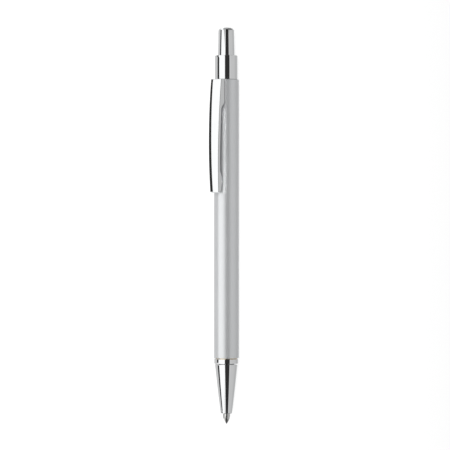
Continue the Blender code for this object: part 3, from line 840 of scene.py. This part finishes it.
@dataclass
class Clip(Part):
    """The sprung clip: a bowed, crowned blade on a root block, with a nub below its free end."""

    barrel_radius: float = 4.25
    length: float = 38.7
    root_rise: float = 1.41
    crest_rise: float = 2.82
    crest: float = 24.6
    thickness: float = 1.05
    top_width: float = 4.7
    end_width: float = 3.84
    crown: float = 16.0
    fillet: float = 0.34
    under_fillet: float = 0.15
    fillet_limit: float = 2.2
    corner: float = 0.55
    end_round: float = 0.32
    top_edge: float = 0.12
    root_length: float = 7.5
    runout: float = 2.6
    root_drop: float = 0.5
    root_gap: float = 0.46
    nub: float = 34.8
    nub_length: float = 6.8
    nub_drop: float = 0.1
    nub_round: float = 0.9
    tang_width: float = 2.4
    tang_length: float = 5.0
    tang_start: float = 0.5
    tang_reach: float = 3.5
    under_angle: float = 132.0
    top_steps: int = 3
    blade_steps: tuple[int, ...] = (8, 14, 24, 24)
    end_steps: int = 12

    @property
    def top(self) -> float:
        """The clip's upper end, as a height above the ball."""
        return self.at.collar

    def edge_height(self, distance: float) -> float:
        """Gives the height of the outer face's two edges.

        Args:
            distance: the distance from the top.

        Returns:
            The height above the axis, lower at both ends and rounded down at the free one.
        """
        bow = ((distance - self.crest) / self.crest) ** 2
        height = self.barrel_radius + self.crest_rise - (self.crest_rise - self.root_rise) * bow
        into = min(max(distance - (self.length - self.end_round), 0.0), self.end_round)
        return height - (self.end_round - math.sqrt(self.end_round**2 - into**2))

    def under_height(self, distance: float) -> float:
        """Gives the height of the underside.

        Args:
            distance: the distance from the top.

        Returns:
            The height above the axis, lower at the root and at the nub.
        """
        free = self.edge_height(distance) - self.thickness
        root = 1 - ease((distance - self.root_length) / self.runout)
        clear = free - self.barrel_radius
        return free - (clear + self.root_drop) * root - (clear + self.nub_drop) * self.nub_share(distance)

    def nub_share(self, distance: float) -> float:
        """How much of the nub stands below the blade at a distance from the top, 1 at its middle."""
        return max(1 - ((distance - self.nub) / (self.nub_length / 2)) ** 2, 0.0)

    def half_width(self, distance: float) -> float:
        """Gives half the clip's width.

        Args:
            distance: the distance from the top.

        Returns:
            Half the width there, rounded in plan at the free end.
        """
        half = (self.top_width + (self.end_width - self.top_width) * (distance / self.length) ** 2) / 2
        into = min(max(distance - (self.length - self.corner), 0.0), self.corner)
        return half - (self.corner - math.sqrt(self.corner**2 - into**2))

    def lower_edge(self, distance: float) -> Vector:
        """The lower edge of the outer face, at a distance from the top."""
        return Vector((self.edge_height(distance), -self.half_width(distance), self.top - distance))

    def section(self, distance: float, inset: float = 0.0) -> list[Vector]:
        """The points round the clip at a distance from its top.

        Args:
            distance: the distance from the top.
            inset: how much smaller the section is all round.

        Returns:
            The points, as places in the standing pen.
        """
        half = self.half_width(distance) - inset
        edge, under = self.edge_height(distance) - inset, self.under_height(distance) + inset
        limit = (edge - under) / self.fillet_limit
        radius = min(self.fillet, limit)
        small = min(self.under_fillet + self.nub_round * self.nub_share(distance), limit)
        centre = edge - math.sqrt(self.crown**2 - half**2)
        lean = math.asin((half - radius) / (self.crown - radius))
        shoulder = centre + (self.crown - radius) * math.cos(lean)
        degrees = math.degrees(lean)
        points = arc((under + small, -half + small), small, 180, 270, 6)
        points += arc((shoulder, -half + radius), radius, 270, 360 - degrees, 6)
        points += arc((centre, 0.0), self.crown, -degrees, degrees, 24)[1:-1]
        points += arc((shoulder, half - radius), radius, degrees, 90, 6)
        points += arc((under + small, half - small), small, 90, 180, 6)
        return [Vector((height, side, self.top - distance)) for height, side in points]

    def sections(self) -> list[list[Vector]]:
        """Draws every section, close together where the shape turns.

        Returns:
            The sections, from the rounded top to the rounded free end.
        """
        turns = [math.pi / 2 * step / self.top_steps for step in range(self.top_steps + 1)]
        made = [
            self.section(self.top_edge * (1 - math.cos(turn)), self.top_edge * (1 - math.sin(turn)))
            for turn in turns
        ]
        nub, corner = self.nub - self.nub_length / 2, self.length - self.corner
        marks = [self.top_edge, self.root_length, self.root_length + self.runout, nub, corner]
        for start, end, count in zip(marks, marks[1:], self.blade_steps):
            made += [self.section(start + (end - start) * (step + 1) / count) for step in range(count)]
        turns = [math.pi / 2 * step / self.end_steps for step in range(1, self.end_steps + 1)]
        return made + [self.section(corner + self.corner * math.sin(turn)) for turn in turns]

    def dull_and_shade_underside(self, item: bpy.types.Object) -> None:
        """Leaves the faces that look at the barrel unpolished and darkened with painted shade, and paints the
        root's seat near-black as painted shade.

        Args:
            item: the clip, laid down.
        """
        item.data.materials.append(self.shop.material(UNDERSIDE_DULL_AND_SHADED))
        item.data.materials.append(self.shop.material(SEAT_PAINTED_SHADE))
        outwards = self.shop.placement.matrix().to_3x3() @ Vector((1, 0, 0))
        root_end = self.shop.placement.at(self.top - self.root_length - self.runout / 2).x
        # Faces turned towards the barrel get painted shade: near-black on the root's seat, darker chrome
        # further along.
        for face in item.data.polygons:
            if face.normal.angle(outwards) > math.radians(self.under_angle):
                face.material_index = 2 if face.center.x < root_end else 1

    def build(self) -> None:
        """Skins the clip, saddles its root on the barrel and adds the tang."""
        item = new_object("sprung_clip", loft(self.sections()))
        seat, deep = self.barrel_radius + self.at.seam, self.barrel_radius + self.root_gap
        step, base = self.top - self.root_length - self.runout, self.top - self.length - PAST
        start = self.top + PAST
        outline = [(0.0, start), (deep, start), (deep, step), (seat, step), (seat, base), (0.0, base)]
        combine(item, revolve(outline, steps=192, closed=False), "DIFFERENCE")
        half, tang_top = self.tang_width / 2, self.top - self.tang_start
        low = (self.tang_reach, -half, tang_top - self.tang_length)
        high = (self.barrel_radius + self.root_rise / 2, half, tang_top)
        combine(item, block(low, high), "UNION")
        self.shop.lay(item, CHROME, "clip")
        self.dull_and_shade_underside(item)
        place = self.shop.placement
        start, end = place.at(self.top - self.root_length), place.at(self.top - self.crest)
        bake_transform(item)


@dataclass
class Refill(Part):
    """The writing point and its ball, and the refill behind them."""

    body_radius: float = 1.2
    body_length: float = 3.9
    taper: float = 1.75
    shoulder: float = 1.05
    spigot_radius: float = 0.7
    spigot_length: float = 4.0
    bore: float = 0.2
    ball: float = 0.35
    ball_gap: float = 0.05
    hold_share: float = 0.3
    lip: float = 0.05

    def point(self) -> None:
        """Turns the writing point, whose lip holds the ball."""
        cup, hold = self.ball + self.ball_gap, math.asin(self.hold_share)
        lip_height, lip = self.ball + cup * math.sin(hold), cup * math.cos(hold)
        top, tip = self.body_length + self.spigot_length, (lip + self.lip, lip_height)
        corner = (self.body_radius, self.taper)
        share = (self.taper - self.shoulder - lip_height) / (self.taper - lip_height)
        end = tuple(Vector(tip).lerp(Vector(corner), share))
        outline = [
            (self.bore, top), (self.spigot_radius, top),
            (self.spigot_radius, self.body_length), (self.body_radius, self.body_length),
        ]
        outline += bend((self.body_radius, self.taper + self.shoulder), corner, end, share=1.0, steps=10)
        outline += [tip]
        throat = math.degrees(math.acos(self.bore / cup))
        outline += arc((0.0, self.ball), cup, math.degrees(hold), throat, steps=12)
        shape = revolve(outline, steps=96)
        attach(self.shop.lay(new_object("point_cone", shape), POINT, "writing_point"), "refill")

    def ball_piece(self) -> None:
        """Makes the ball."""
        shape = bmesh.new()
        place = Matrix.Translation((0, 0, self.ball))
        bmesh.ops.create_uvsphere(shape, u_segments=48, v_segments=24, radius=self.ball, matrix=place)
        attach(self.shop.lay(new_object("ball_bead", shape), BALL, "writing_ball"), "ball")

    def build(self) -> None:
        """Makes the point and the ball, and dresses the rest of the refill."""
        self.point()
        self.ball_piece()
        self.shop.dress({"point_holder": POINT, "refill_tube": TUBE, "ink_column": INK})


@dataclass
class Mechanism(Part):
    """The return spring, and what else works inside the barrel."""

    wire: float = 0.2
    radius: float = 1.65
    low: float = 9.85
    high: float = 20.25
    turns: int = 7
    dead_rise: float = 0.55

    def spring(self) -> None:
        """Winds the spring between its seat in the nose and the refill's flange."""
        section = arc((self.radius, self.low), self.wire, 0, 330, 11)
        rise = (self.high - self.low - 2 * self.dead_rise) / self.turns
        shape = coil(section, [(1, self.dead_rise), (self.turns, rise), (1, self.dead_rise)], steps=48)
        item = self.shop.lay(new_object("spring_coil", shape), WIRE, "return_spring")
        place = self.shop.placement
        tuple(place.at(self.low))
        tuple(place.at(self.high))
        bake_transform(item)

    def build(self) -> None:
        """Winds the spring and dresses the moulded and turned pieces."""
        self.spring()
        self.shop.dress({"thread_bush": BRASS, "guide_sleeve": SLEEVE, "plunger": CAM, "cam_rotor": CAM})


# The studio


@dataclass(frozen=True)
class SoftLamp:
    """A soft lamp before the pen, which neither the camera nor polished metal sees. Sizes are in metres."""

    name: str
    shape: str
    size: Point
    power: float
    tilt: float
    distance: float
    spread: float = 180.0

    def stand(self, target: Vector, only: bpy.types.Object | None = None) -> None:
        """Stands the lamp and points it.

        Args:
            target: what it points at.
            only: the one object that it lights, or nothing where it lights all.
        """
        data = bpy.data.lights.new(self.name, "AREA")
        data.shape, data.size, data.size_y = self.shape, *self.size
        data.energy, data.spread = self.power, math.radians(self.spread)
        lamp = bpy.data.objects.new(self.name, data)
        tilt = math.radians(self.tilt)
        lamp.location = target + Vector((0.0, -math.cos(tilt), math.sin(tilt))) * self.distance
        lamp.rotation_euler = (math.pi / 2 - tilt, 0.0, 0.0)
        lamp.visible_glossy = lamp.visible_camera = False
        bpy.context.scene.collection.objects.link(lamp)
        if only:
            lit = bpy.data.collections.new(f"lit_by_{self.name}")
            lit.objects.link(only)
            lamp.light_linking.receiver_collection = lit


@dataclass(frozen=True)
class PaintedShadeLine:
    """A painted line of shade on the table beside one part of the pen, from one height to another above the
    ball, which only polished metal shows.

    Its far edge is where the part shows the table at a turn, in degrees below the line to the camera.
    """

    name: str
    low: float
    high: float
    turn: float
    level: float


@dataclass
class Studio:
    """A pale table under soft light, with long pale panels and one dark one round it for the chrome to show.

    Panels are (degrees up from the front, level). What lies on the table is in millimetres, the rest in
    metres.
    """

    placement: Placement
    elevation: float = 20.33
    lens: float = 200.0
    sensor: float = 36.0
    clip_range: Point = (0.01, 20.0)
    view_width: float = 0.154
    shift_left: float = 0.000534
    shift_up: float = 0.00024
    panels: tuple[Point, ...] = (
        (0, 1.08), (2.2, 1.08), (5, 0.03), (49, 0.03), (51.5, 0.62), (59, 0.6), (70, 0.56), (93, 0.56),
        (120, 0.51), (132, 0.43), (158, 0.67), (170, 1.0), (180, 1.08),
    )
    white: float = 1.08
    plain_level: float = 0.2
    end_span: Point = (0.5, 0.74)
    end_panel: float = 0.3
    table_half: float = 4.0
    table_tone: float = 0.12
    table_glow: float = 0.7
    table_bounce: float = 0.5
    table_lamp: SoftLamp = SoftLamp("table_lamp", "DISK", (0.2, 0.2), power=1060.0, tilt=19.93, distance=1.72)
    soft_lamp: SoftLamp = SoftLamp("soft_lamp", "RECTANGLE", (0.9, 0.1), power=5.0, tilt=11.0, distance=0.8)
    glow_width: float = 0.0012
    glow_power: float = 0.00005
    shade_level: float = 0.6
    shade_near: float = 4.5
    shade_turn: float = 50.5
    shade_lift: float = 0.02
    dark: float = 0.03
    line_turn: float = 51.0
    line_lift: float = 0.04
    clip_line_near: float = 0.3
    clip_line_far: float = 0.9
    clip_line_growth: float = 0.0085
    clip_line_rise: float = 0.43
    clip_line_steps: int = 40
    tip_gap: float = 3.0
    tip_level: float = 0.15
    button_gap: float = 7.0
    button_level: float = 0.4
    end_half: float = 70.0
    end_reach: float = 1000.0
    end_flare: float = 8.0
    end_lift: float = 0.03

    def camera(self) -> None:
        """Stands the camera over the table's front, with the pen's button up in the picture."""
        tilt = math.radians(self.elevation)
        right, up = Vector((0, math.sin(tilt), math.cos(tilt))), Vector((-1, 0, 0))
        back = Vector((0, -math.cos(tilt), math.sin(tilt)))
        middle = Vector((0, self.placement.side, self.placement.height))
        target = middle - right * self.shift_left + up * self.shift_up
        data = bpy.data.cameras.new("camera")
        data.lens, data.sensor_width = self.lens, self.sensor
        data.clip_start, data.clip_end = self.clip_range
        camera = bpy.data.objects.new("camera", data)
        bpy.context.scene.collection.objects.link(camera)
        turn = Matrix((right, up, back)).transposed().to_4x4()
        distance = self.view_width * self.lens / self.sensor
        camera.matrix_world = Matrix.Translation(target + back * distance) @ turn
        bpy.context.scene.camera = camera

    def world(self) -> None:
        """White for the camera, even and soft for plain surfaces, and the panels for polished ones."""
        world = bpy.data.worlds.new("studio")
        world.use_nodes = True
        world.cycles.sampling_method = "NONE"
        world.node_tree.nodes.clear()
        bench = Bench(world.node_tree)
        way = bench.node("ShaderNodeTexCoord").outputs["Generated"]
        way = bench.node("ShaderNodeSeparateXYZ", {"Vector": way}).outputs
        angle = bench.math("ARCTAN2", way["Z"], bench.math("MULTIPLY", way["Y"], -1.0))
        ramp = bench.node("ShaderNodeValToRGB", {"Fac": bench.math("DIVIDE", angle, math.pi)})
        elements = ramp.color_ramp.elements
        while len(elements) > 1:
            elements.remove(elements[-1])
        for index, (degrees, level) in enumerate(self.panels):
            element = elements[0] if index == 0 else elements.new(degrees / 180)
            element.position, element.color = degrees / 180, grey(level)
        low, high = self.end_span
        span = {"From Min": low, "From Max": high, "To Min": 1.0, "To Max": self.end_panel}
        share = bench.node("ShaderNodeMapRange", {"Value": bench.math("ABSOLUTE", way["X"]), **span})
        dimmed = {0: ramp.outputs["Color"], "Scale": share.outputs["Result"]}
        above = bench.node("ShaderNodeVectorMath", dimmed, operation="SCALE").outputs["Vector"]
        panels = bench.mix(bench.math("LESS_THAN", way["Z"], 0.0), above, grey(self.white))
        path = bench.node("ShaderNodeLightPath").outputs
        shown = bench.mix(path["Is Glossy Ray"], grey(self.plain_level), panels)
        seen = bench.mix(path["Is Camera Ray"], shown, grey(1.0))
        background = bench.node("ShaderNodeBackground", {"Color": seen, "Strength": 1.0})
        bench.node("ShaderNodeOutputWorld", {"Surface": background.outputs[0]})
        bpy.context.scene.world = world

    @staticmethod
    def material(name: str) -> tuple[bpy.types.Material, Bench]:
        """Starts a studio material, whose own light only reaches what looks at it.

        Args:
            name: the material's name.

        Returns:
            The empty material, and a bench on it.
        """
        made = bpy.data.materials.new(name)
        made.use_nodes = True
        made.cycles.emission_sampling = "NONE"
        made.node_tree.nodes.clear()
        return made, Bench(made.node_tree)

    def table(self) -> None:
        """Lays a white table top that keeps a faint shadow of the pen, and stands its lamp by the camera."""
        shape = bmesh.new()
        bmesh.ops.create_grid(shape, x_segments=1, y_segments=1, size=self.table_half)
        item = new_object("table_top", shape)
        material, bench = self.material("white_table")
        path = bench.node("ShaderNodeLightPath").outputs
        matt = bench.node("ShaderNodeBsdfDiffuse", {"Color": grey(self.table_tone)}).outputs[0]
        seen = bench.mix_shaders(self.table_glow, matt, bench.emission(1.0))
        shown = {"Value": path["Is Glossy Ray"], "To Min": self.table_bounce, "To Max": self.white}
        lit = bench.emission(bench.node("ShaderNodeMapRange", shown).outputs["Result"])
        top = bench.mix_shaders(path["Is Camera Ray"], lit, seen)
        behind = bench.node("ShaderNodeNewGeometry").outputs["Backfacing"]
        both = bench.mix_shaders(behind, top, bench.node("ShaderNodeBsdfTransparent").outputs[0])
        bench.node("ShaderNodeOutputMaterial", {"Surface": both})
        item.data.materials.append(material)
        self.table_lamp.stand(Vector(), only=item)

    def clip_glow(self, barrel: bpy.types.Object, clip: Clip) -> None:
        """Lights the barrel alone with what the clip's polished flank sends down beside it.

        Args:
            barrel: the barrel.
            clip: the clip.
        """
        start, end = clip.top - clip.root_length - clip.runout, clip.top - clip.length
        size = ((start - end) * METRES, self.glow_width)
        lamp = SoftLamp(
            "clip_glow", "RECTANGLE", size, self.glow_power, tilt=11.0, distance=0.009, spread=20.0,
        )
        lamp.stand(self.placement.at((start + end) / 2), only=barrel)

    def landing(self, radius: float, turn: float) -> float:
        """Where a round piece shows the table, at an angle round it from the camera.

        Args:
            radius: the piece's radius, in millimetres.
            turn: the angle on the piece, in degrees below the line to the camera.

        Returns:
            The place on the table, in millimetres forward of the axis.
        """
        axis = self.placement.height / METRES
        facing, ray = math.radians(self.elevation - turn), math.radians(self.elevation - 2 * turn)
        return radius * math.cos(facing) + (axis + radius * math.sin(facing)) / math.tan(-ray)

    def strip(self, name: str, edges: list[tuple[float, float, float]], level: float, lift: float) -> None:
        """Lays a strip along the pen that only polished metal shows: a dark studio panel, or painted shade
        beside the pen.

        Args:
            name: the strip's name.
            edges: (along, near, far) places, in millimetres from the pen's middle and axis.
            level: how bright it is, 1 being white.
            lift: how far it lies above the table, in millimetres.
        """
        shape = bmesh.new()
        rows = [[shape.verts.new((along, y, lift)) for y in (near, far)] for along, near, far in edges]
        for first, second in zip(rows, rows[1:]):
            shape.faces.new((first[0], second[0], second[1], first[1]))
        bmesh.ops.recalc_face_normals(shape, faces=shape.faces)
        place = Matrix.Translation((0, self.placement.side, 0)) @ Matrix.Scale(METRES, 4)
        bmesh.ops.transform(shape, matrix=place, verts=shape.verts)
        item = new_object(name, shape)
        material, bench = self.material(f"panel_{level:.2f}")
        bench.node("ShaderNodeOutputMaterial", {"Surface": bench.emission(level)})
        item.data.materials.append(material)
        item.visible_camera = item.visible_diffuse = item.visible_shadow = item.visible_transmission = False

    def lay_painted_shade_lines(self, at: Stations, outline: list[Point]) -> None:
        """Lays the painted shade under the pen, and the painted line of shade that each of its round parts
        shows beside it, both seen only in polished metal.

        Args:
            at: the stations along the pen.
            outline: (height, radius) of the pen's silhouette, from the tip up.
        """
        middle = self.placement.length / METRES
        # Painted shade: grey and dark strips that only polished metal shows, standing in for the pen's own
        # shade on the table.
        edges = [
            (middle - height, self.shade_near, -self.landing(radius, self.shade_turn))
            for height, radius in outline
        ]
        self.strip("painted_shade_under_pen", edges, self.shade_level, self.shade_lift)
        lines = (
            PaintedShadeLine("nose", 0.0, at.ring - STEP_GAP, turn=40.1, level=self.dark),
            PaintedShadeLine("ring", at.ring, at.barrel, turn=41.0, level=self.dark),
            PaintedShadeLine("barrel", at.barrel + STEP_GAP, at.collar - STEP_GAP, turn=43.0, level=0.3),
            PaintedShadeLine("cap", at.collar, at.top + BEYOND, turn=39.2, level=self.dark),
        )
        for line in lines:
            edges = [
                (middle - height, -self.landing(radius, self.line_turn), -self.landing(radius, line.turn))
                for height, radius in outline if line.low <= height <= line.high
            ]
            self.strip(f"dark_line_{line.name}", edges, line.level, self.line_lift)

    def painted_clip_shade_line(self, clip: Clip) -> None:
        """Lays the painted line of shade along the clip's lower edge, which only polished metal shows, wider
        where the edge stands higher.

        Args:
            clip: the clip.
        """
        middle, edges = self.placement.length / METRES, []
        for step in range(self.clip_line_steps + 1):
            distance = clip.length * step / self.clip_line_steps
            lower = self.placement.matrix() @ clip.lower_edge(distance)
            edge, lifted = (lower.y - self.placement.side) / METRES, max(lower.z / METRES, 0.0)
            width = self.clip_line_far + self.clip_line_growth * distance + self.clip_line_rise * lifted
            edges.append((middle - clip.top + distance, edge + self.clip_line_near, edge - width))
        self.strip("dark_line_clip", edges, self.dark, self.line_lift)

    def end_shades(self) -> None:
        """Lays a dark strip beyond each end of the pen, which edges that face along the pen show."""
        middle, wide = self.placement.length / METRES, self.end_half * self.end_flare
        ends = (("tip", 1, self.tip_gap, self.tip_level), ("button", -1, self.button_gap, self.button_level))
        for name, side, gap, level in ends:
            near, far = side * (middle + gap), side * self.end_reach
            edges = [(near, -self.end_half, self.end_half), (far, -wide, wide)]
            self.strip(f"dark_end_{name}", edges, level, self.end_lift)

    def build(self, at: Stations, outline: list[Point], clip: Clip) -> None:
        """Sets up the camera, the light, the table and what lies on it.

        Args:
            at: the stations along the pen.
            outline: (height, radius) of the pen's silhouette, from the tip up.
            clip: the clip, whose lower edge has a painted line of shade of its own.
        """
        self.camera()
        self.world()
        self.table()
        self.soft_lamp.stand(Vector())
        bpy.context.scene.view_settings.view_transform = "Standard"
        self.lay_painted_shade_lines(at, outline)
        self.painted_clip_shade_line(clip)
        self.end_shades()
        LOG.info("studio: camera %.1f degrees up", self.elevation)


def pen_outline(at: Stations, nose: Nose, top: Top, barrel: Barrel) -> list[Point]:
    """The pen's silhouette without its clip.

    Args:
        at: the stations along the pen.
        nose: the nose.
        top: the collar and button.
        barrel: the barrel.

    Returns:
        (height, radius) places, from the tip up.
    """
    heights = [at.tip + OUTLINE_RISE * step for step in range(int((at.ring - at.tip) / OUTLINE_RISE) + 1)]
    return [
        *POINT_OUTLINE,
        *((height, nose.cone_radius(height)) for height in heights),
        (at.ring, nose.ring_radius), (at.barrel, nose.ring_radius),
        (at.barrel + STEP_GAP, barrel.radius), (at.collar - STEP_GAP, barrel.radius),
        (at.collar, top.collar_radius), (at.collar_top, top.collar_radius),
        (at.collar_top + STEP_GAP, top.button_base), (at.top, top.button_top),
        (at.top + BEYOND, top.button_top),
    ]


def main() -> None:
    """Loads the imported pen, builds its pieces in order, and lights them."""
    logging.basicConfig(level=logging.INFO, format="%(message)s")
    for item in list(bpy.data.objects):
        bpy.data.objects.remove(item, do_unlink=True)
    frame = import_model()
    placement = Placement.from_frame(frame)
    shop = Workshop(placement, Effects(), frame["nodes"], {})
    at = Stations()
    barrel, nose, top, clip = Barrel(at, shop), Nose(at, shop), Top(at, shop), Clip(at, shop)
    for part in (barrel, nose, top, clip, Refill(at, shop), Mechanism(at, shop)):
        part.build()
    studio = Studio(placement)
    studio.build(at, pen_outline(at, nose, top, barrel), clip)
    studio.clip_glow(bpy.data.objects["barrel_tube"], clip)
    bpy.context.view_layer.update()


if __name__ == "__main__":
    main()
